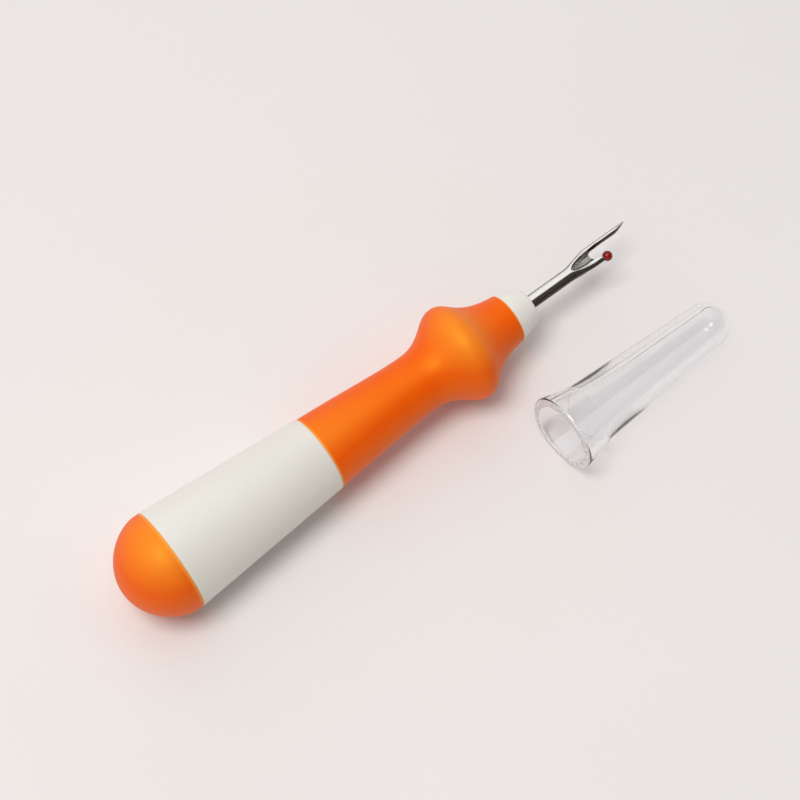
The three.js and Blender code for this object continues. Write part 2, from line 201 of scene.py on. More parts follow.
def noise_at(tree, scale, detail=2.0, stretch=None, rough=0.5):
    """Noise in object coordinates, `scale` waves to the metre, stretched per axis if asked."""
    noise = add_node(tree, "ShaderNodeTexNoise", inputs={"Detail": detail, "Roughness": rough})
    feed(tree, scale, noise, "Scale")
    vector = add_node(tree, "ShaderNodeTexCoord").outputs["Object"]
    if stretch:
        mapping = add_node(tree, "ShaderNodeMapping", inputs={"Scale": stretch})
        feed(tree, vector, mapping, "Vector")
        vector = mapping.outputs["Vector"]
    feed(tree, vector, noise, "Vector")
    return noise.outputs["Fac"]


def remap(tree, value, low, high, new_low=0.0, new_high=1.0):
    """Stretches a range of values onto another one."""
    node = add_node(tree, "ShaderNodeMapRange", inputs={
        "From Min": low, "From Max": high, "To Min": new_low, "To Max": new_high})
    feed(tree, value, node, "Value")
    return node.outputs["Result"]


def bump_from(tree, height, strength, distance):
    """A normal that a height wrinkles, by `distance` metres at full strength."""
    node = add_node(tree, "ShaderNodeBump", inputs={"Distance": distance})
    feed(tree, strength, node, "Strength")
    feed(tree, height, node, "Height")
    return node.outputs["Normal"]


card, card_tree, card_shader = new_finish("pale_card")
clouds = remap(card_tree, noise_at(card_tree, 9, 3), 0.35, 0.65)
card_color = mix_colors(card_tree, clouds, (0.822, 0.792, 0.781), (0.836, 0.808, 0.795))
tooth = bump_from(card_tree, noise_at(card_tree, 2500, 4), 0.25, 0.0001)
feed(card_tree, card_color, card_shader, "Base Color")
feed(card_tree, tooth, card_shader, "Normal")
card_shader.inputs["Roughness"].default_value = 0.85
card_shader.inputs["Specular IOR Level"].default_value = 0.2

floor_form = bmesh.new()
bmesh.ops.create_grid(floor_form, x_segments=24, y_segments=24, size=2.5)
floor_mesh = bpy.data.meshes.new("floor")
floor_form.to_mesh(floor_mesh)
floor_form.free()
floor_mesh.materials.append(card)
floor = bpy.data.objects.new("floor", floor_mesh)
bpy.context.collection.objects.link(floor)
print("floor spans", tuple(round(v, 1) for v in floor.dimensions))

# %% [markdown]
# ## Finishes that share two effects
#
# Moulded plastic is never one flat colour. Its skin has a fine grain from the mould, and its
# pigment clouds a little. Handling leaves hairline scuffs and a trace of dust. Each effect is
# a shader node group with named inputs, built once and tuned in every finish that uses it.
# The groups put out colours, values and normals. The shader itself stays in the material.

# %% Group: moulded skin


def new_group(name, takes, gives):
    """A shader node group with named sockets. Returns it with its input and output nodes."""
    group = bpy.data.node_groups.new(name, "ShaderNodeTree")
    for label, kind, value in takes:
        socket = group.interface.new_socket(label, in_out="INPUT", socket_type=kind)
        socket.default_value = value
    for label, kind in gives:
        group.interface.new_socket(label, in_out="OUTPUT", socket_type=kind)
    return group, group.nodes.new("NodeGroupInput"), group.nodes.new("NodeGroupOutput")


def moulded_skin():
    """Grain and pigment clouds: colour and normal of plastic or rubber from a mould."""
    group, given, out = new_group(
        "moulded_skin",
        [("Color", "NodeSocketColor", (0.8, 0.8, 0.8, 1)),
         ("Cloud Color", "NodeSocketColor", (0.7, 0.7, 0.7, 1)),
         ("Grain Scale", "NodeSocketFloat", 3000.0),
         ("Grain Depth", "NodeSocketFloat", 0.3)],
        [("Color", "NodeSocketColor"), ("Grain", "NodeSocketFloat"),
         ("Normal", "NodeSocketVector")])
    pigment = remap(group, noise_at(group, 90, 3), 0.32, 0.68)
    color = mix_colors(group, pigment, given.outputs["Color"], given.outputs["Cloud Color"])
    grain = noise_at(group, given.outputs["Grain Scale"], 3)
    bump = bump_from(group, grain, given.outputs["Grain Depth"], 0.0001)
    for label, result in (("Color", color), ("Grain", grain), ("Normal", bump)):
        feed(group, result, out, label)
    return group


SKIN = moulded_skin()
print("group", SKIN.name, "gives", [s.name for s in SKIN.nodes["Group Output"].inputs][:3])

# %% Group: traces of handling


def handling_traces():
    """Hairline scuffs and dust, as two masks from 0 to 1."""
    group, given, out = new_group(
        "handling_traces",
        [("Scuff Amount", "NodeSocketFloat", 0.3), ("Dust Amount", "NodeSocketFloat", 0.2)],
        [("Scuffs", "NodeSocketFloat"), ("Dust", "NodeSocketFloat")])
    hairs = [remap(group, noise_at(group, 1.0, 2, stretch, rough=0.6), 0.66, 0.74)
             for stretch in ((700, 5200, 5200), (4200, 900, 4200))]
    patches = remap(group, noise_at(group, 160, 2), 0.45, 0.7)
    worn = compute(group, "MULTIPLY", compute(group, "MAXIMUM", *hairs), patches)
    specks = remap(group, noise_at(group, 5200, 1), 0.70, 0.80)
    for mask, amount, label in ((worn, "Scuff Amount", "Scuffs"), (specks, "Dust Amount", "Dust")):
        feed(group, compute(group, "MULTIPLY", mask, given.outputs[amount]), out, label)
    return group


TRACES = handling_traces()
print("group", TRACES.name, "takes", [s.name for s in TRACES.nodes["Group Input"].outputs][:2])

# %% [markdown]
# ## Finish: soft orange rubber
#
# The grip and the butt are a soft-touch rubber: strong orange, matte, with a dull highlight.
# Scuffs make it paler and rougher, and dust lies on it in fine pale specks. A flat orange would
# do for a toy, but the soft grain is what tells the hand that this isn't the hard plastic beside
# it. Where it stands highest, on the butt and the bulge, its colour is painted a little yellower:
# a painted highlight of the lamp above. At its moulded edges it is so thin that white shows
# through: the meshes mark those with an attribute.

# %% Soft orange
SCUFF_ROUGHNESS = 0.25
# Heights, in metres, over which the painted highlight fades in.
PAINTED_HIGHLIGHT_FROM, PAINTED_HIGHLIGHT_TO = 0.0168, 0.0212


def place_group(tree, group, **values):
    """Places a group in a material and sets its named inputs."""
    node = add_node(tree, "ShaderNodeGroup", node_tree=group)
    for key, value in values.items():
        node.inputs[key.replace("_", " ")].default_value = value
    return node


def moulded_finish(name, color, cloud, grain, rough, traces, dust_color):
    """Plastic or rubber: the skin group colours it, and the traces lighten and roughen it.

    `grain` is its scale and depth, `rough` its least and most, `traces` scuffs and dust.
    """
    finish, tree, shader = new_finish(name)
    skin = place_group(tree, SKIN, Color=(*color, 1), Cloud_Color=(*cloud, 1),
                       Grain_Scale=grain[0], Grain_Depth=grain[1])
    marks = place_group(tree, TRACES, Scuff_Amount=traces[0], Dust_Amount=traces[1])
    scuffed = mix_colors(tree, marks.outputs["Scuffs"], skin.outputs["Color"], dust_color)
    dusty = mix_colors(tree, marks.outputs["Dust"], scuffed, dust_color)
    spread = remap(tree, skin.outputs["Grain"], 0.3, 0.7, *rough)
    total = compute(tree, "MULTIPLY_ADD", marks.outputs["Scuffs"], SCUFF_ROUGHNESS, spread,
                    use_clamp=True)
    feed(tree, dusty, shader, "Base Color")
    feed(tree, total, shader, "Roughness")
    feed(tree, skin.outputs["Normal"], shader, "Normal")
    return finish, shader


def vertical(tree, which):
    """The Z part of the object's own coordinates ("Object") or of its normal ("Normal")."""
    place = add_node(tree, "ShaderNodeTexCoord")
    parts = add_node(tree, "ShaderNodeSeparateXYZ")
    feed(tree, place.outputs[which], parts, 0)
    return parts.outputs["Z"]


soft_orange, orange_shader = moulded_finish(
    "orange_rubber", color=(0.930, 0.094, 0.001), cloud=(0.905, 0.084, 0.001),
    grain=(3600.0, 0.18), rough=(0.46, 0.54), traces=(0.10, 0.10),
    dust_color=(0.95, 0.36, 0.12))
orange_shader.inputs["Specular IOR Level"].default_value = 0.85
orange_shader.inputs["Specular Tint"].default_value = (1.0, 0.90, 0.08, 1)
orange_tree = soft_orange.node_tree
plain = orange_shader.inputs["Base Color"].links[0].from_socket
# Painted highlight: the base colour turns yellower with height, on the tops of the butt and the
# bulge.
height = vertical(orange_tree, "Object")
painted_highlight_mask = remap(orange_tree, height, PAINTED_HIGHLIGHT_FROM, PAINTED_HIGHLIGHT_TO, 0.0, 0.95)
highlighted_orange = mix_colors(orange_tree, painted_highlight_mask, plain, (0.960, 0.225, 0.018))
thin_edge = add_node(orange_tree, "ShaderNodeAttribute", attribute_name="thin_edge")
see_through = remap(orange_tree, thin_edge.outputs["Fac"], 0.3, 0.9, 0.0, 0.75)
edged = mix_colors(orange_tree, see_through, highlighted_orange, (0.960, 0.520, 0.110))
feed(orange_tree, edged, orange_shader, "Base Color")
print("finish", soft_orange.name, "with", len(orange_tree.nodes), "nodes")

# %% [markdown]
# ## Finish: hard white plastic
#
# The body and nose are a warm white, harder and smoother than the grip, with a satin sheen.

# %% White plastic
white_plastic, white_shader = moulded_finish(
    "body_white", color=(0.820, 0.800, 0.745), cloud=(0.800, 0.780, 0.720),
    grain=(1900.0, 0.10), rough=(0.30, 0.38), traces=(0.10, 0.12),
    dust_color=(0.70, 0.67, 0.60))
white_shader.inputs["Specular IOR Level"].default_value = 0.5
print("finish", white_plastic.name, "with", len(white_plastic.node_tree.nodes), "nodes")

# %% [markdown]
# ## Finish: red bead
#
# The ball is a glossy translucent bead. A thin clear coat over deep red gives its bright
# highlight. Its red is painted darker towards the rim, where the surface turns away from the
# camera: painted shade.

# %% Red bead
red_bead, bead_shader = moulded_finish(
    "bead_red", color=(0.33, 0.004, 0.004), cloud=(0.28, 0.003, 0.003),
    grain=(2400.0, 0.05), rough=(0.10, 0.16), traces=(0.08, 0.06),
    dust_color=(0.45, 0.06, 0.05))
bead_shader.inputs["Specular IOR Level"].default_value = 0.3
bead_shader.inputs["Coat Weight"].default_value = 0.2
bead_shader.inputs["Coat Roughness"].default_value = 0.03
bead_tree = red_bead.node_tree
turning_away = add_node(bead_tree, "ShaderNodeLayerWeight", inputs={"Blend": 0.5})
core = bead_shader.inputs["Base Color"].links[0].from_socket
# Painted shade: the base colour darkens towards the rim, where the surface turns away from the
# camera.
rim_shaded_red = mix_colors(bead_tree, turning_away.outputs["Facing"], core, (0.020, 0.001, 0.001))
feed(bead_tree, rim_shaded_red, bead_shader, "Base Color")
print("finish", red_bead.name, "with", len(bead_tree.nodes), "nodes")

# %% [markdown]
# ## Finish: steel, drawn and polished
#
# The shank is drawn wire: faint lines run along it. A belt has polished the top and the
# underside, while the sides and the slot keep a rougher satin from the drawing and the press.
# There the colour is also painted almost black: a painted dark reflection along the steel's
# sides. Which way the surface faces, read from its own normal, parts the two. The hollow grind
# has its own mask, an attribute that the mesh brings along, for the coarser lines of the wheel.

# %% Steel
steel, steel_tree, steel_shader = new_finish("fork_steel")
steel_shader.inputs["Metallic"].default_value = 1.0
drawn = noise_at(steel_tree, 1.0, 3, stretch=(260, 9000, 9000), rough=0.6)
ground = add_node(steel_tree, "ShaderNodeAttribute", attribute_name="ground")
upright = compute(steel_tree, "ABSOLUTE", vertical(steel_tree, "Normal"))
# Mask of the steep sides, which get a painted dark reflection in their colour and more roughness.
steep_sides = remap(steel_tree, upright, 0.80, 0.62)
traces = place_group(steel_tree, TRACES, Scuff_Amount=0.5, Dust_Amount=0.10)
polish_color = mix_colors(steel_tree, drawn, (0.80, 0.78, 0.76), (0.92, 0.90, 0.88))
wheel_noise = noise_at(steel_tree, 1.0, 3, stretch=(420, 5200, 5200), rough=0.6)
streaks = remap(steel_tree, wheel_noise, 0.38, 0.62)
wheel_color = mix_colors(steel_tree, streaks, (0.16, 0.15, 0.14), (0.62, 0.60, 0.57))
hollow_color = mix_colors(steel_tree, ground.outputs["Fac"], polish_color, wheel_color)
# Painted dark reflection: the steep sides and the slot turn almost black in the base colour.
painted_dark_sides = mix_colors(steel_tree, steep_sides, hollow_color, (0.080, 0.062, 0.048))
dusted = mix_colors(steel_tree, traces.outputs["Dust"], painted_dark_sides, (0.6, 0.58, 0.55))
polish_rough = remap(steel_tree, drawn, 0.3, 0.7, 0.12, 0.20)
rough_sides = blend_levels(steel_tree, steep_sides, polish_rough, 0.38)
rough_hollow = blend_levels(steel_tree, ground.outputs["Fac"], rough_sides, 0.26)
feed(steel_tree, dusted, steel_shader, "Base Color")
feed(steel_tree, rough_hollow, steel_shader, "Roughness")
feed(steel_tree, bump_from(steel_tree, drawn, 0.15, 0.00005), steel_shader, "Normal")
print("finish", steel.name, "with", len(steel_tree.nodes), "nodes")

# %% [markdown]
# ## Finish: clear plastic
#
# The cap is clear polystyrene, which bends light more than window glass does. Real plastic
# isn't perfect: its skin waves a little, and handling leaves hairlines. The shadow of a clear
# thing is pale, so for light on its way to the card the shader is a see-through film.
#
# The mouth's rim was cut from the mould and is a little frosted, and so is the small step at
# the collar's end. Without that, light that goes into the wall there runs along inside it and
# never comes out, and both look black.

# %% Clear plastic
CAP_IOR = 1.58
clear, clear_tree, clear_shader = new_finish("cap_clear")
clear_shader.inputs["Transmission Weight"].default_value = 1.0
clear_shader.inputs["IOR"].default_value = CAP_IOR
skin = place_group(clear_tree, SKIN, Color=(0.985, 0.990, 1.0, 1),
                   Cloud_Color=(0.965, 0.972, 0.985, 1), Grain_Scale=330.0, Grain_Depth=0.02)
marks = place_group(clear_tree, TRACES, Scuff_Amount=0.5, Dust_Amount=0.15)
haze = remap(clear_tree, marks.outputs["Scuffs"], 0.0, 1.0, 0.015, 0.20)
feed(clear_tree, skin.outputs["Color"], clear_shader, "Base Color")
feed(clear_tree, skin.outputs["Normal"], clear_shader, "Normal")
feed(clear_tree, haze, clear_shader, "Roughness")
rays = add_node(clear_tree, "ShaderNodeLightPath")
film = add_node(clear_tree, "ShaderNodeBsdfTransparent", inputs={"Color": (0.972, 0.972, 0.982, 1)})
onward = compute(clear_tree, "MAXIMUM", rays.outputs["Is Shadow Ray"],
                 rays.outputs["Is Diffuse Ray"])
either = add_node(clear_tree, "ShaderNodeMixShader")
for key, source in enumerate((onward, clear_shader.outputs[0], film.outputs[0])):
    feed(clear_tree, source, either, key)
feed(clear_tree, either.outputs[0], clear_tree.nodes["Material Output"], "Surface")
print("finish", clear.name, "bends light by", CAP_IOR)

# %% Frosted rim and step
frosted, frosted_shader = moulded_finish(
    "cap_rim", color=(0.98, 0.98, 0.985), cloud=(0.93, 0.93, 0.94),
    grain=(1400.0, 0.50), rough=(0.22, 0.34), traces=(0.30, 0.20),
    dust_color=(0.99, 0.99, 0.99))
frosted_shader.inputs["Coat Weight"].default_value = 0.6
frosted_shader.inputs["Transmission Weight"].default_value = 0.35
frosted_shader.inputs["IOR"].default_value = CAP_IOR
print("finish", frosted.name, "with", len(frosted.node_tree.nodes), "nodes")

# %% [markdown]
# ## Pieces that are turned
#
# Five pieces are round about an axis: the butt, the body, the grip, the ball and the cap.
# Blender's Spin tool or a Screw modifier would make them, but a small Geometry Nodes tree says
# it best: a grid has one column for each point of the profile and one row for each side, and
# each grid point goes to its profile point, turned by its row's share of a full circle.

# %% Geometry Nodes tree that turns a profile
MM = 0.001
WELD, DOUBLES, SLIVERS = 2e-7, 3e-7, 1e-7


def turning_tree():
    """Profile in (x: along the axis, y: from the axis), out comes the turned skin."""
    tree = bpy.data.node_groups.new("turn_profile", "GeometryNodeTree")
    for label, kind in (("Profile", "NodeSocketGeometry"), ("Sides", "NodeSocketInt"),
                        ("Finish", "NodeSocketMaterial")):
        tree.interface.new_socket(label, in_out="INPUT", socket_type=kind)
    tree.interface.new_socket("Skin", in_out="OUTPUT", socket_type="NodeSocketGeometry")
    given = tree.nodes.new("NodeGroupInput")
    out = tree.nodes.new("NodeGroupOutput")

    count = add_node(tree, "GeometryNodeAttributeDomainSize", component="MESH")
    rows = add_node(tree, "FunctionNodeIntegerMath", operation="ADD", inputs={1: 1})
    grid = add_node(tree, "GeometryNodeMeshGrid")
    feed(tree, given.outputs["Profile"], count, 0)
    feed(tree, given.outputs["Sides"], rows, 0)
    feed(tree, count.outputs["Point Count"], grid, "Vertices X")
    feed(tree, rows.outputs[0], grid, "Vertices Y")

    index = add_node(tree, "GeometryNodeInputIndex")
    column = add_node(tree, "FunctionNodeIntegerMath", operation="DIVIDE_FLOOR")
    row = add_node(tree, "FunctionNodeIntegerMath", operation="MODULO")
    for node in (column, row):
        feed(tree, index.outputs[0], node, 0)
        feed(tree, rows.outputs[0], node, 1)
    where = add_node(tree, "GeometryNodeInputPosition")
    pick = add_node(tree, "GeometryNodeSampleIndex", data_type="FLOAT_VECTOR", domain="POINT")
    feed(tree, given.outputs["Profile"], pick, "Geometry")
    feed(tree, where.outputs[0], pick, "Value")
    feed(tree, column.outputs[0], pick, "Index")
    point = add_node(tree, "ShaderNodeSeparateXYZ")
    feed(tree, pick.outputs[0], point, 0)

    share = compute(tree, "DIVIDE", row.outputs[0], given.outputs["Sides"])
    angle = compute(tree, "MULTIPLY", share, 2 * math.pi)
    target = add_node(tree, "ShaderNodeCombineXYZ")
    feed(tree, point.outputs["X"], target, "X")
    for axis, wave in (("Y", "COSINE"), ("Z", "SINE")):
        reach = compute(tree, "MULTIPLY", compute(tree, wave, angle), point.outputs["Y"])
        feed(tree, reach, target, axis)

    put = add_node(tree, "GeometryNodeSetPosition")
    weld = add_node(tree, "GeometryNodeMergeByDistance", inputs={"Distance": WELD})
    real = add_node(tree, "GeometryNodeRealizeInstances")
    paint = add_node(tree, "GeometryNodeSetMaterial")
    feed(tree, grid.outputs["Mesh"], put, "Geometry")
    feed(tree, target.outputs[0], put, "Position")
    feed(tree, put.outputs[0], weld, "Geometry")
    feed(tree, weld.outputs[0], real, 0)
    feed(tree, real.outputs[0], paint, "Geometry")
    feed(tree, given.outputs["Finish"], paint, "Material")
    feed(tree, paint.outputs[0], out, "Skin")
    return tree


TURNING = turning_tree()
print("tree", TURNING.name, "has", len(TURNING.nodes), "nodes")

# %% [markdown]
# The tree runs once for each turned mesh. Its result becomes a plain mesh, which then goes to
# its place in the frame, gets its normals pointed outwards, and is shaded smooth up to an edge
# of 35 degrees, or 25 on the white body.

# %% Helpers that turn, place and finish a piece


def turned(name, profile, sides, finish):
    """A mesh, still on its own axis, from a profile of (station, radius) in millimetres."""
    line = bpy.data.meshes.new(name + "_profile")
    points = [(station * MM, radius * MM, 0) for station, radius in profile]
    line.from_pydata(points, [(i, i + 1) for i in range(len(points) - 1)], [])
    holder = bpy.data.objects.new(name + "_profile", line)
    bpy.context.collection.objects.link(holder)
    modifier = holder.modifiers.new("turn", "NODES")
    modifier.node_group = TURNING
    sockets = {s.name: s.identifier for s in TURNING.interface.items_tree}
    modifier[sockets["Sides"]] = sides
    modifier[sockets["Finish"]] = finish
    seen = holder.evaluated_get(bpy.context.evaluated_depsgraph_get())
    mesh = bpy.data.meshes.new_from_object(seen)
    mesh.name = name
    holder.modifiers.remove(modifier)
    bpy.data.objects.remove(holder)
    return mesh


def tidy(mesh, sharp=35):
    """Merges doubles, points the faces outwards and shades smooth between sharp edges."""
    form = bmesh.new()
    form.from_mesh(mesh)
    bmesh.ops.remove_doubles(form, verts=form.verts, dist=DOUBLES)
    bmesh.ops.dissolve_degenerate(form, edges=form.edges, dist=SLIVERS)
    bmesh.ops.recalc_face_normals(form, faces=form.faces)
    open_edges = sum(not e.is_manifold for e in form.edges)
    form.to_mesh(mesh)
    form.free()
    mesh.shade_smooth()
    mesh.set_sharp_from_angle(angle=math.radians(sharp))
    return open_edges


def piece(mesh, body, node, sharp=35):
    """Puts a finished mesh in the scene, on its body, in place of its CAD node."""
    open_edges = tidy(mesh, sharp)
    made = bpy.data.objects.new(mesh.name, mesh)
    bpy.context.collection.objects.link(made)
    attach(made, body)
    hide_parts(node)
    low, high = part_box(node)
    spare = max(max(low[i] - min(v.co[i] for v in mesh.vertices),
                    max(v.co[i] for v in mesh.vertices) - high[i]) for i in range(3))
    print(mesh.name, len(mesh.polygons), "faces,", open_edges, "open edges,",
          round(spare / MM, 3), "mm past its solid")


butt_low, butt_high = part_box("butt_cap")
tool_place = Matrix.Translation((
    butt_low.x, (butt_low.y + butt_high.y) / 2, (butt_low.z + butt_high.z) / 2))
print("tool axis runs from", [round(v / MM, 2) for v in tool_place.translation], "along +X")

# %% [markdown]
# ## The butt
#
# The butt is a full, rounded dome with a short straight band and a plug behind it, which
# snaps into the hollow body. Only the dome shows. Its seam has a small round, which catches
# the light as the thin line between orange and white.

# %% Butt dome and plug
SIDES = 160
BUTT_RADIUS = 11.0
DOME_LENGTH = 10.0
DOME_FULLNESS = 1.7
BUTT_SEAM = 11.4
SEAM_ROUND = 0.2
BODY_LENGTH = 35.9
BODY_WALL = 2.2
GRIP_START_RADIUS = 8.3
PLUG_END = BUTT_SEAM + 8.0
PLUG_WALL, PLUG_FLOOR = 1.8, 3.6
PLUG_BEADS = (2, 1.5, 0.4)
MOULD_GAP = 0.1
EDGE_FADE = 0.5
DOME_STEPS = 72


def arc(centre, radius, start, end, steps=8):
    """Points of an arc from `start` to `end` degrees. 0 points along the axis, 90 outwards."""
    turns = (math.radians(start + (end - start) * i / steps) for i in range(steps + 1))
    return [(centre[0] + radius * math.cos(t), centre[1] + radius * math.sin(t)) for t in turns]


def mark_edges(mesh, seams):
    """Marks the points near the seams, for the finish. The mesh is still on its own axis."""
    thin = mesh.attributes.new("thin_edge", "FLOAT", "POINT")
    for vertex in mesh.vertices:
        off = min(abs(vertex.co.x / MM - seam) for seam in seams)
        thin.data[vertex.index].value = max(1 - off / EDGE_FADE, 0.0)


def body_radius(station):
    """The white cone's outside, from the butt to the grip."""
    return BUTT_RADIUS + (GRIP_START_RADIUS - BUTT_RADIUS) * (station - BUTT_SEAM) / BODY_LENGTH


def beaded(start, end, radius_at, beads, width, height):
    """A wall between two stations with evenly spaced beads: how many, how wide and how high."""
    points = [(start, radius_at(start))]
    pitch = (end - start) / beads
    for i in range(beads):
        foot = start + pitch * (i + 0.5) - width / 2
        top = radius_at(foot + width / 2) + height
        points += [(foot, radius_at(foot)), (foot + width / 4, top),
                   (foot + width * 3 / 4, top), (foot + width, radius_at(foot + width))]
    return points + [(end, radius_at(end))]


dome = []
for i in range(DOME_STEPS + 1):
    turn = i / DOME_STEPS * math.pi / 2
    reach = max(math.cos(turn), 0.0) ** (2 / DOME_FULLNESS)
    dome.append((DOME_LENGTH * (1 - reach), BUTT_RADIUS * math.sin(turn)))
plug = beaded(BUTT_SEAM, PLUG_END, lambda s: body_radius(s) - BODY_WALL - MOULD_GAP, *PLUG_BEADS)
hollow = plug[-1][1] - PLUG_WALL
butt_profile = [
    *dome,
    *arc((BUTT_SEAM - SEAM_ROUND, BUTT_RADIUS - SEAM_ROUND), SEAM_ROUND, 90, 0),
    *plug,
    (PLUG_END, hollow),
    *arc((PLUG_FLOOR + hollow / 2, hollow / 2), hollow / 2, 90, 180),
    (PLUG_FLOOR, 0.0),
]
butt_mesh = turned("butt_dome", butt_profile, SIDES, soft_orange)
mark_edges(butt_mesh, [BUTT_SEAM])
butt_mesh.transform(tool_place)
piece(butt_mesh, "tool", "butt_cap")

# %% [markdown]
# ## The white body
#
# One hard moulding runs from the hollow cone, on under the grip, to the nose that holds the
# blade. Rings under the grip lock the rubber to it. The blade's tang sits in a pocket, which
# Boolean modifiers cut with a rod and a block, shaped like the tang and a little larger.

# %% Body, with rings under the grip
GRIP_START = BUTT_SEAM + BODY_LENGTH
WAIST = GRIP_START + 25.4
BULGE = WAIST + 10.8
GRIP_FRONT = BULGE + 12.75
NOSE_FRONT = GRIP_FRONT + 5.1
GRIP_WALL = 1.6
WAIST_RADIUS = 6.4
BULGE_RADIUS = 10.8
FRONT_RADIUS = 5.55
NOSE_RADIUS = 4.3
NOSE_ROUND = 0.5
BORE_END = BUTT_SEAM + 31.0
LOCK_RINGS = (3, 2.4, 0.7)
LOCK_BULGE = 7.6
NOSE_STEP = 0.05
WAIST_PULL, BULGE_PULLS, FRONT_PULL = 5.8, (3.2, 3.4), (9.6, 0.9)


def bezier(points, steps):
    """Points of a cubic curve between the first and the last of four."""
    made = []
    for i in range(steps + 1):
        t = i / steps
        weights = ((1 - t) ** 3, 3 * t * (1 - t) ** 2, 3 * t * t * (1 - t), t ** 3)
        made.append(tuple(sum(w * p[axis] for w, p in zip(weights, points)) for axis in (0, 1)))
    return made


def waist_to_front(waist, bulge, front, steps):
    """Level at the waist and on the bulge, then down to the front edge."""
    climb = bezier([(WAIST, waist), (WAIST + WAIST_PULL, waist),
                    (BULGE - BULGE_PULLS[0], bulge), (BULGE, bulge)], steps)
    fall = bezier([(BULGE, bulge), (BULGE + BULGE_PULLS[1], bulge),
                   (GRIP_FRONT - FRONT_PULL[0], front + FRONT_PULL[1]),
                   (GRIP_FRONT, front)], steps)
    return climb + fall[1:]


def bond_line(gap):
    """Where the rubber meets the hard body, moved out by `gap`."""
    start = GRIP_START_RADIUS - GRIP_WALL
    slope = (WAIST_RADIUS - GRIP_START_RADIUS) / (WAIST - GRIP_START)
    wall = beaded(GRIP_START, WAIST, lambda s: start + slope * (s - GRIP_START) + gap, *LOCK_RINGS)
    front = waist_to_front(WAIST_RADIUS - GRIP_WALL + gap, LOCK_BULGE + gap,
                           FRONT_RADIUS - GRIP_WALL + gap, 24)
    return wall + front[1:]


bore = beaded(BUTT_SEAM, PLUG_END, lambda s: body_radius(s) - BODY_WALL, *PLUG_BEADS)
end_bore = body_radius(BORE_END) - BODY_WALL
nose_base = FRONT_RADIUS - NOSE_STEP
body_profile = [
    (BORE_END, 0.0),
    *arc((BORE_END - end_bore / 2, end_bore / 2), end_bore / 2, 0, 90),
    *reversed(bore),
    *arc((BUTT_SEAM + SEAM_ROUND, BUTT_RADIUS - SEAM_ROUND), SEAM_ROUND, 180, 90)[:-1],
    (BUTT_SEAM + SEAM_ROUND, body_radius(BUTT_SEAM + SEAM_ROUND)),
    (GRIP_START - SEAM_ROUND, body_radius(GRIP_START - SEAM_ROUND)),
    *arc((GRIP_START - SEAM_ROUND, GRIP_START_RADIUS - SEAM_ROUND), SEAM_ROUND, 80, 0),
    *bond_line(0),
    *arc((GRIP_FRONT + SEAM_ROUND, nose_base - SEAM_ROUND), SEAM_ROUND, 180, 90),
    *arc((NOSE_FRONT - NOSE_ROUND, NOSE_RADIUS - NOSE_ROUND), NOSE_ROUND, 80, 0, 12),
    (NOSE_FRONT, 0.0),
]
body_mesh = turned("hard_body", body_profile, SIDES, white_plastic)
body_mesh.transform(tool_place)
print("body from station", BUTT_SEAM, "to", round(NOSE_FRONT, 1))

# %% Tang, and the pocket that holds it
SHANK_RADIUS = 1.5
TANG_LENGTH = 24.0
EAR_LENGTH, EAR_SLANT = 7.0, 1.4
EAR_HALF_WIDTHS, EAR_HALF_THICKNESS = (2.3, 0.75), 0.8
POCKET_OVERRUN = 1.0
blade_place = tool_place @ Matrix.Translation((NOSE_FRONT * MM, 0, 0))


def ears(gap):
    """The flattened end of the tang, with slanted corners."""
    back = -TANG_LENGTH - gap
    front = back + EAR_LENGTH + 2 * gap
    wide, narrow = (half + gap for half in EAR_HALF_WIDTHS)
    thick = EAR_HALF_THICKNESS + gap
    near, far = back + EAR_SLANT, front - EAR_SLANT
    outline = [(back, -narrow), (near, -wide), (far, -wide), (front, -narrow),
               (front, narrow), (far, wide), (near, wide), (back, narrow)]
    form = bmesh.new()
    base = form.faces.new([form.verts.new((x * MM, y * MM, -thick * MM)) for x, y in outline])
    risen = bmesh.ops.extrude_face_region(form, geom=[base])["geom"]
    top = [v for v in risen if isinstance(v, bmesh.types.BMVert)]
    bmesh.ops.translate(form, verts=top, vec=(0, 0, 2 * thick * MM))
    bmesh.ops.recalc_face_normals(form, faces=form.faces)
    mesh = bpy.data.meshes.new("ears")
    form.to_mesh(mesh)
    form.free()
    return mesh


def rod(start, end, radius, sides, finish, aside=0.0):
    """A round rod along the blade, `aside` from its axis."""
    mesh = turned("rod", [(start, 0), (start, radius), (end, radius), (end, 0)], sides, finish)
    mesh.transform(Matrix.Translation((0, aside * MM, 0)))
    tidy(mesh)
    return mesh


def boolean(mesh, operation, other):
    """Applies a Boolean modifier with another mesh, and keeps the result as a plain mesh."""
    holders = []
    for part in (mesh, other):
        holder = bpy.data.objects.new(part.name, part)
        bpy.context.collection.objects.link(holder)
        holders.append(holder)
    cut = holders[0].modifiers.new("cut", "BOOLEAN")
    cut.operation = operation
    cut.solver = "EXACT"
    cut.object = holders[1]
    seen = holders[0].evaluated_get(bpy.context.evaluated_depsgraph_get())
    result = bpy.data.meshes.new_from_object(seen)
    name = mesh.name
    for holder, part in zip(holders, (mesh, other)):
        bpy.data.objects.remove(holder)
        bpy.data.meshes.remove(part)
    result.name = name
    return result


tidy(body_mesh)
pocket = rod(-TANG_LENGTH - MOULD_GAP, POCKET_OVERRUN, SHANK_RADIUS + MOULD_GAP, 64,
             white_plastic)
for cutter in (pocket, ears(MOULD_GAP)):
    cutter.transform(blade_place)
    body_mesh = boolean(body_mesh, "DIFFERENCE", cutter)
piece(body_mesh, "tool", "handle_core", 25)

# %% [markdown]
# ## The grip
#
# The grip is a sleeve of rubber moulded over the body: a long taper, a waist for the
# fingertips, a bulge that stops them, and a short cone. Three cubic curves draw it, level
# where they meet, so that no ring shows at the joints.

# %% Grip sleeve
START_STEP, START_SLOPE, FRONT_STEP = 0.15, 0.06, 0.02

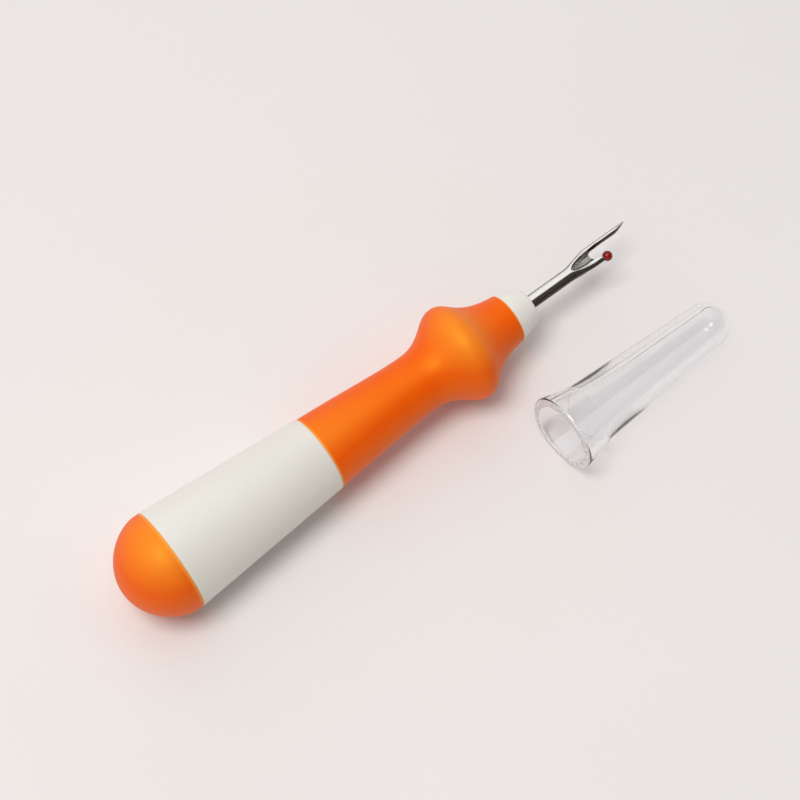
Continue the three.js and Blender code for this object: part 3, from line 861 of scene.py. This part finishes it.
sleeve_start = GRIP_START_RADIUS - START_STEP
taper_length = WAIST - GRIP_START
taper = bezier([(GRIP_START + SEAM_ROUND, sleeve_start),
                (GRIP_START + taper_length / 2, sleeve_start - START_SLOPE * taper_length / 2),
                (WAIST - taper_length / 4, WAIST_RADIUS), (WAIST, WAIST_RADIUS)], 48)
outside = waist_to_front(WAIST_RADIUS, BULGE_RADIUS, FRONT_RADIUS, 56)
outside = [p for p in outside if p[0] < GRIP_FRONT - SEAM_ROUND]
edge_radius = outside[-1][1] - FRONT_STEP
grip_profile = [
    *arc((GRIP_START + SEAM_ROUND, sleeve_start - SEAM_ROUND), SEAM_ROUND, 180, 95),
    *taper,
    *outside[1:],
    *arc((GRIP_FRONT - SEAM_ROUND, edge_radius - SEAM_ROUND), SEAM_ROUND, 85, 0),
    *reversed(bond_line(MOULD_GAP)),
]
grip_profile.append(grip_profile[0])
grip_mesh = turned("soft_grip", grip_profile, SIDES, soft_orange)
mark_edges(grip_mesh, [GRIP_START, GRIP_FRONT])
grip_mesh.transform(tool_place)
piece(grip_mesh, "tool", "grip_sleeve")

# %% [markdown]
# ## The fork
#
# The blade takes the most skill. It starts as round wire, is pressed flat and wide, gets a
# U-shaped slot between a long spear and a short prong, and is ground hollow on both faces
# until the steel at the crotch is a thin, sharp web.
#
# Cutting a mesh for each of those would leave ragged edges. Instead, a rule gives half the
# steel's thickness at every point of its plan: the blank's section, less the wheel's hollow,
# less a round along the slot and the outer sides. Rows of points across the plan then follow the
# outline, and the top and the underside are mirror images.

# %% Plan and thickness of the blade
BLADE_LENGTH = 28.7
CROTCH = BLADE_LENGTH - 11.2
SHORT_END = CROTCH + 2.0
NECK = CROTCH - 6.5
FLARE = 6.8
LONG_EDGE, SHORT_EDGE = 2.75, 2.0
LONG_WIDTH, LONG_ROOT, ROOT_LENGTH = 1.14, 1.22, 5.0
SHORT_WIDTH, SHORT_ROOT = 0.9, 1.3
SPEAR, SPEAR_BEND = 3.3, 1.5
POINT_INSET, POINT_WIDTH = 0.06, 0.16
THINNING = BLADE_LENGTH - 2.3
INSIDE_LONG = LONG_EDGE - LONG_ROOT
INSIDE_ROOT = SHORT_ROOT - SHORT_EDGE
SLOT_MIDDLE = (INSIDE_LONG + INSIDE_ROOT) / 2
SLOT_RADIUS = (INSIDE_LONG - INSIDE_ROOT) / 2
WHEEL = {"x": CROTCH + 0.8, "y": 0.62, "lean": 0.09, "z": 1.6,
         "length": 6.2, "width": 1.5, "height": 1.5}
SLOT_ROUNDING, LONG_ROUNDING, OUTER_ROUNDING = 0.2, 0.44, 0.62
SLOT_LEFT, LONG_LEFT, ROUNDING_GROWTH = 0.6, 0.12, 2.0
FLAT_HALF, TIP_HALF = 0.82, 0.40
WIRE_FULLNESS, FLAT_FULLNESS, TIP_FULLNESS = 2.0, 5.0, 3.0
TRACK_BLEND = 0.05


def mix(a, b, share):
    """The value that lies `share` of the way from a to b."""
    return a + (b - a) * share


def blank(x):
    """The blank's section: lower edge, upper edge, half its thickness, and fullness."""
    share = min(max((x - NECK) / FLARE, 0.0), 1.0)
    ease = share * share * (3 - 2 * share)
    thin = min(max((x - THINNING) / (BLADE_LENGTH - THINNING), 0.0), 1.0)
    low = -mix(SHANK_RADIUS, SHORT_EDGE, ease)
    high = mix(SHANK_RADIUS, LONG_EDGE, ease) - POINT_INSET * thin
    half = mix(mix(SHANK_RADIUS, FLAT_HALF, ease), TIP_HALF, thin)
    return low, high, half, mix(mix(WIRE_FULLNESS, FLAT_FULLNESS, ease), TIP_FULLNESS, thin)


def slot_reach(x):
    """Half the slot's width at a station, 0 behind the crotch."""
    behind = CROTCH + SLOT_RADIUS - x
    if behind <= 0:
        return SLOT_RADIUS
    return math.sqrt(max(SLOT_RADIUS ** 2 - behind ** 2, 0.0))


def inner_edge(x, side):
    """Where the slot begins on the long prong's side (1) or the short one's (-1)."""
    edge = SLOT_MIDDLE + side * slot_reach(x)
    round_end = CROTCH + SLOT_RADIUS
    if side > 0 and x > round_end:
        edge += (LONG_ROOT - LONG_WIDTH) * min((x - round_end) / ROOT_LENGTH, 1.0)
    if side > 0 and x > BLADE_LENGTH - SPEAR:
        share = (x - BLADE_LENGTH + SPEAR) / SPEAR
        edge += (LONG_WIDTH - POINT_INSET - POINT_WIDTH) * share ** SPEAR_BEND
    if side < 0 and x > round_end:
        edge -= (SHORT_ROOT - SHORT_WIDTH) * (x - round_end) / (SHORT_END - round_end)
    return edge


def hollow_depth(x, y):
    """Height of the wheel's track above the middle plane, or None where it doesn't reach."""
    along = x - WHEEL["x"]
    aside = y - WHEEL["y"] - WHEEL["lean"] * along
    inside = 1 - (along / WHEEL["length"]) ** 2 - (aside / WHEEL["width"]) ** 2
    return WHEEL["z"] - WHEEL["height"] * math.sqrt(inside) if inside > 0 else None


def half_thickness(x, y):
    """Half the steel's thickness, and whether the wheel made it."""
    low, high, half, fullness = blank(x)
    across = min(abs((y - (low + high) / 2) / ((high - low) / 2)), 1.0)
    height = half * max(1 - across ** fullness, 0.0) ** (1 / fullness)
    beside = 1 - min(y - low, high - y) / OUTER_ROUNDING
    if fullness > TIP_FULLNESS and 0 < beside <= 1:
        height *= mix(1.0, math.sqrt(1 - beside ** 2), min(fullness - TIP_FULLNESS, 1.0))
    track = hollow_depth(x, y)
    ground_here = track is not None and track < height
    if track is not None:
        soften = max(TRACK_BLEND - abs(height - track), 0.0)
        height = min(height, track) - soften * soften / (4 * TRACK_BLEND)
    height = max(height, 0.0)
    ahead = x - CROTCH - SLOT_RADIUS
    side = 1 if y > SLOT_MIDDLE else -1
    off = side * (y - inner_edge(x, side))
    if ahead < 0:
        off = math.hypot(ahead, y - SLOT_MIDDLE) - SLOT_RADIUS
    share = min(max(ahead / ROUNDING_GROWTH, 0.0), 1.0) if side > 0 else 0.0
    rounding = mix(SLOT_ROUNDING, LONG_ROUNDING, share)
    rounding = min(rounding, 0.5 * (LONG_EDGE - inner_edge(x, 1)))
    if off < rounding and x > CROTCH - rounding:
        missing = 1 - max(off, 0.0) / rounding
        left = mix(SLOT_LEFT, LONG_LEFT, share)
        height *= left + (1 - left) * math.sqrt(1 - missing ** 2)
    return height, ground_here


print("steel at the crotch is", round(2 * half_thickness(CROTCH, 0)[0], 2), "mm thick")

# %% [markdown]
# The rows lie close together where the outline turns, and in each row the points crowd
# towards both edges, where the surface is steepest.

# %% Rows of points along the blade
ACROSS = 26
PITCH, FIRST_GAP, LAST_GAP, LEAST_GAP = 0.12, 0.1, 0.05, 0.02
END_ROUND, END_DEPTH, END_OVERRUN = 0.12, 0.16, 0.08
CHAMFER_LENGTH, CHAMFER_SHARE = 0.25, 0.86


def stations(end):
    """Rows from the tang's end to `end`, closer along the flare and round the crotch."""
    rows = [-TANG_LENGTH, -TANG_LENGTH + CHAMFER_LENGTH, *range(-22, int(NECK), 4), NECK]
    rows += [NECK + PITCH * i for i in range(1, int((CROTCH - NECK) / PITCH))]
    rows += [CROTCH + SLOT_RADIUS * (1 - math.cos(math.radians(t))) for t in range(0, 90, 4)]
    past = CROTCH + SLOT_RADIUS + FIRST_GAP
    while past < end - LAST_GAP:
        rows.append(past)
        past += PITCH
    return [row for row in rows if row < end - LEAST_GAP] + [end]


def prong(form, side, end):
    """One half of the blade, from the slot's middle outwards, as a closed skin of quads."""
    top, under = [], []
    for x in stations(end):
        low, high, _, _ = blank(x)
        outer = high if side > 0 else low
        inner = inner_edge(x, side)
        middle = (inner + outer) / 2
        shrink = 1.0
        if side < 0 and x > end - END_ROUND:
            shrink = math.sqrt(1 - ((x - end + END_ROUND) / END_DEPTH) ** 2)
        if x == -TANG_LENGTH:
            shrink, middle = CHAMFER_SHARE, 0.0
        rows = ([], [])
        for i in range(ACROSS + 1):
            y = mix(inner, outer, (1 - math.cos(math.pi * i / ACROSS)) / 2)
            z = half_thickness(x, y)[0] * shrink
            y = mix(middle, y, shrink)
            for line, height in zip(rows, (z, -z)):
                line.append(form.verts.new((x * MM, y * MM, height * MM)))
        top.append(rows[0])
        under.append(rows[1])
    for skin in (top, under):
        for near, far in zip(skin, skin[1:]):
            for i in range(ACROSS):
                form.faces.new((near[i], near[i + 1], far[i + 1], far[i]))
    first_open = stations(end).index(CROTCH)
    for r in range(first_open, len(top) - 1):
        form.faces.new((top[r][0], top[r + 1][0], under[r + 1][0], under[r][0]))
    for r in (0, len(top) - 1):
        for i in range(ACROSS):
            form.faces.new((top[r][i], top[r][i + 1], under[r][i + 1], under[r][i]))


fork_form = bmesh.new()
prong(fork_form, 1, BLADE_LENGTH)
prong(fork_form, -1, SHORT_END + END_OVERRUN)
fork_mesh = bpy.data.meshes.new("steel_fork")
fork_form.to_mesh(fork_mesh)
fork_form.free()
fork_mesh.materials.append(steel)
print("fork plan has", len(fork_mesh.vertices), "points,", tidy(fork_mesh), "open edges")

# %% [markdown]
# The tang's ears and the pin that carries the ball join the blade by two more Booleans. Last,
# each point learns whether the wheel touched it, for the finish.

# %% Join the ears and the pin, and mark the grind
PIN_RADIUS, PIN_ROOT, PIN_REACH = 0.42, 0.4, 1.55
ball_low, ball_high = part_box("safety_ball")
pin_aside = ((ball_low.y + ball_high.y) / 2 - tool_place.translation.y) / MM
pin = rod(SHORT_END - PIN_ROOT, SHORT_END + PIN_REACH, PIN_RADIUS, 32, steel, pin_aside)
for part in (ears(0), pin):
    fork_mesh = boolean(fork_mesh, "UNION", part)
wheel_mark = fork_mesh.attributes.new("ground", "FLOAT", "POINT")
for vertex in fork_mesh.vertices:
    x, y, _ = vertex.co / MM
    in_reach = NECK < x < BLADE_LENGTH and abs(y) < LONG_EDGE
    wheel_mark.data[vertex.index].value = float(in_reach and half_thickness(x, y)[1])
fork_mesh.transform(blade_place)
piece(fork_mesh, "tool", "fork_blade")

# %% [markdown]
# ## The ball
#
# The ball keeps the short prong from snagging the cloth. It is pressed onto the pin, so it
# has a blind hole on the prong's side.

# %% Ball on its pin
BALL_RADIUS, HOLE_END = 1.1, 0.45
hole = PIN_RADIUS + MOULD_GAP
hole_edge = math.degrees(math.asin(hole / BALL_RADIUS))
ball_profile = [(HOLE_END, 0.0), (HOLE_END, hole),
                *arc((0, 0), BALL_RADIUS, 180 - hole_edge, 0, 48)]
ball_mesh = turned("red_ball", ball_profile, 64, red_bead)
ball_mesh.transform(blade_place @ Matrix.Translation(
    ((SHORT_END + BALL_RADIUS + MOULD_GAP) * MM, pin_aside * MM, 0)))
piece(ball_mesh, "tool", "safety_ball")

# %% [markdown]
# ## The cap
#
# The cap is a clear shell: a flared collar that slides over the grip's front, a small step, a
# tapered tube and a round end. It lies on its rim and its round end, so it points a little
# downwards. Its wall is real, inside and out, because clear plastic shows both skins.
#
# The bore is wide in the collar, where the nose sits, and narrows in the tube, where only the
# blade has to fit. Light that grazes a thick wall's bore is thrown sideways. The thin dark line
# along the tube is the steel beside it, seen that way.

# %% Clear cap
CAP_MOUTH = Vector((21.6385, -14.3053, 8.3909)) * MM
CAP_YAW = math.radians(1.64)
CAP_LENGTH, CAP_END, CAP_WALL = 45.9, 5.0, 1.3
MOUTH_RADIUS, MOUTH_BORE, RIM_ROUND = 8.37, 6.65, 0.6
COLLAR, COLLAR_RADIUS, STEP = 7.1, 6.95, 0.22
TUBE_BORE, END_BORE, END_WALL = 3.6, 3.0, 1.0
NARROWING = [(24.0, TUBE_BORE), (17.0, 4.0), (12.5, 5.0), (6.7, COLLAR_RADIUS - CAP_WALL)]
RIM_FROST, STEP_FROST, STEP_PAST = 0.27, 0.27, 0.02

rim_reach = CAP_LENGTH - CAP_END - RIM_ROUND
rim_drop = MOUTH_RADIUS - RIM_ROUND
cap_pitch = math.atan2(rim_drop, rim_reach) - math.asin(
    (CAP_END - RIM_ROUND) / math.hypot(rim_reach, rim_drop))
cap_profile = [
    *arc((CAP_LENGTH - END_WALL - END_BORE, 0), END_BORE, 0, 90, 24),
    *bezier(NARROWING, 16),
    *arc((SEAM_ROUND, MOUTH_BORE + SEAM_ROUND), SEAM_ROUND, 270, 180),
    *arc((RIM_ROUND, MOUTH_RADIUS - RIM_ROUND), RIM_ROUND, 180, 90, 12),
    (COLLAR, COLLAR_RADIUS),
    *arc((COLLAR + STEP, COLLAR_RADIUS), STEP, 180, 270),
    *arc((CAP_LENGTH - CAP_END, 0), CAP_END, 90, 0, 32),
]
cap_mesh = turned("clear_cover", cap_profile, 144, clear)
cap_mesh.materials.append(frosted)
for face in cap_mesh.polygons:
    x, y, z = face.center / MM
    on_skin = math.hypot(y, z) > COLLAR_RADIUS - STEP_FROST
    at_rim = x < RIM_FROST
    at_step = 0 < x - COLLAR < STEP + STEP_PAST and on_skin
    if at_rim or at_step:
        face.material_index = len(cap_mesh.materials) - 1
cap_mesh.transform(Matrix.Translation(CAP_MOUTH) @ Matrix.Rotation(CAP_YAW, 4, "Z")
                   @ Matrix.Rotation(cap_pitch, 4, "Y"))
piece(cap_mesh, "cap", "clear_cap")
print("cap points down by", round(math.degrees(cap_pitch), 2), "degrees")
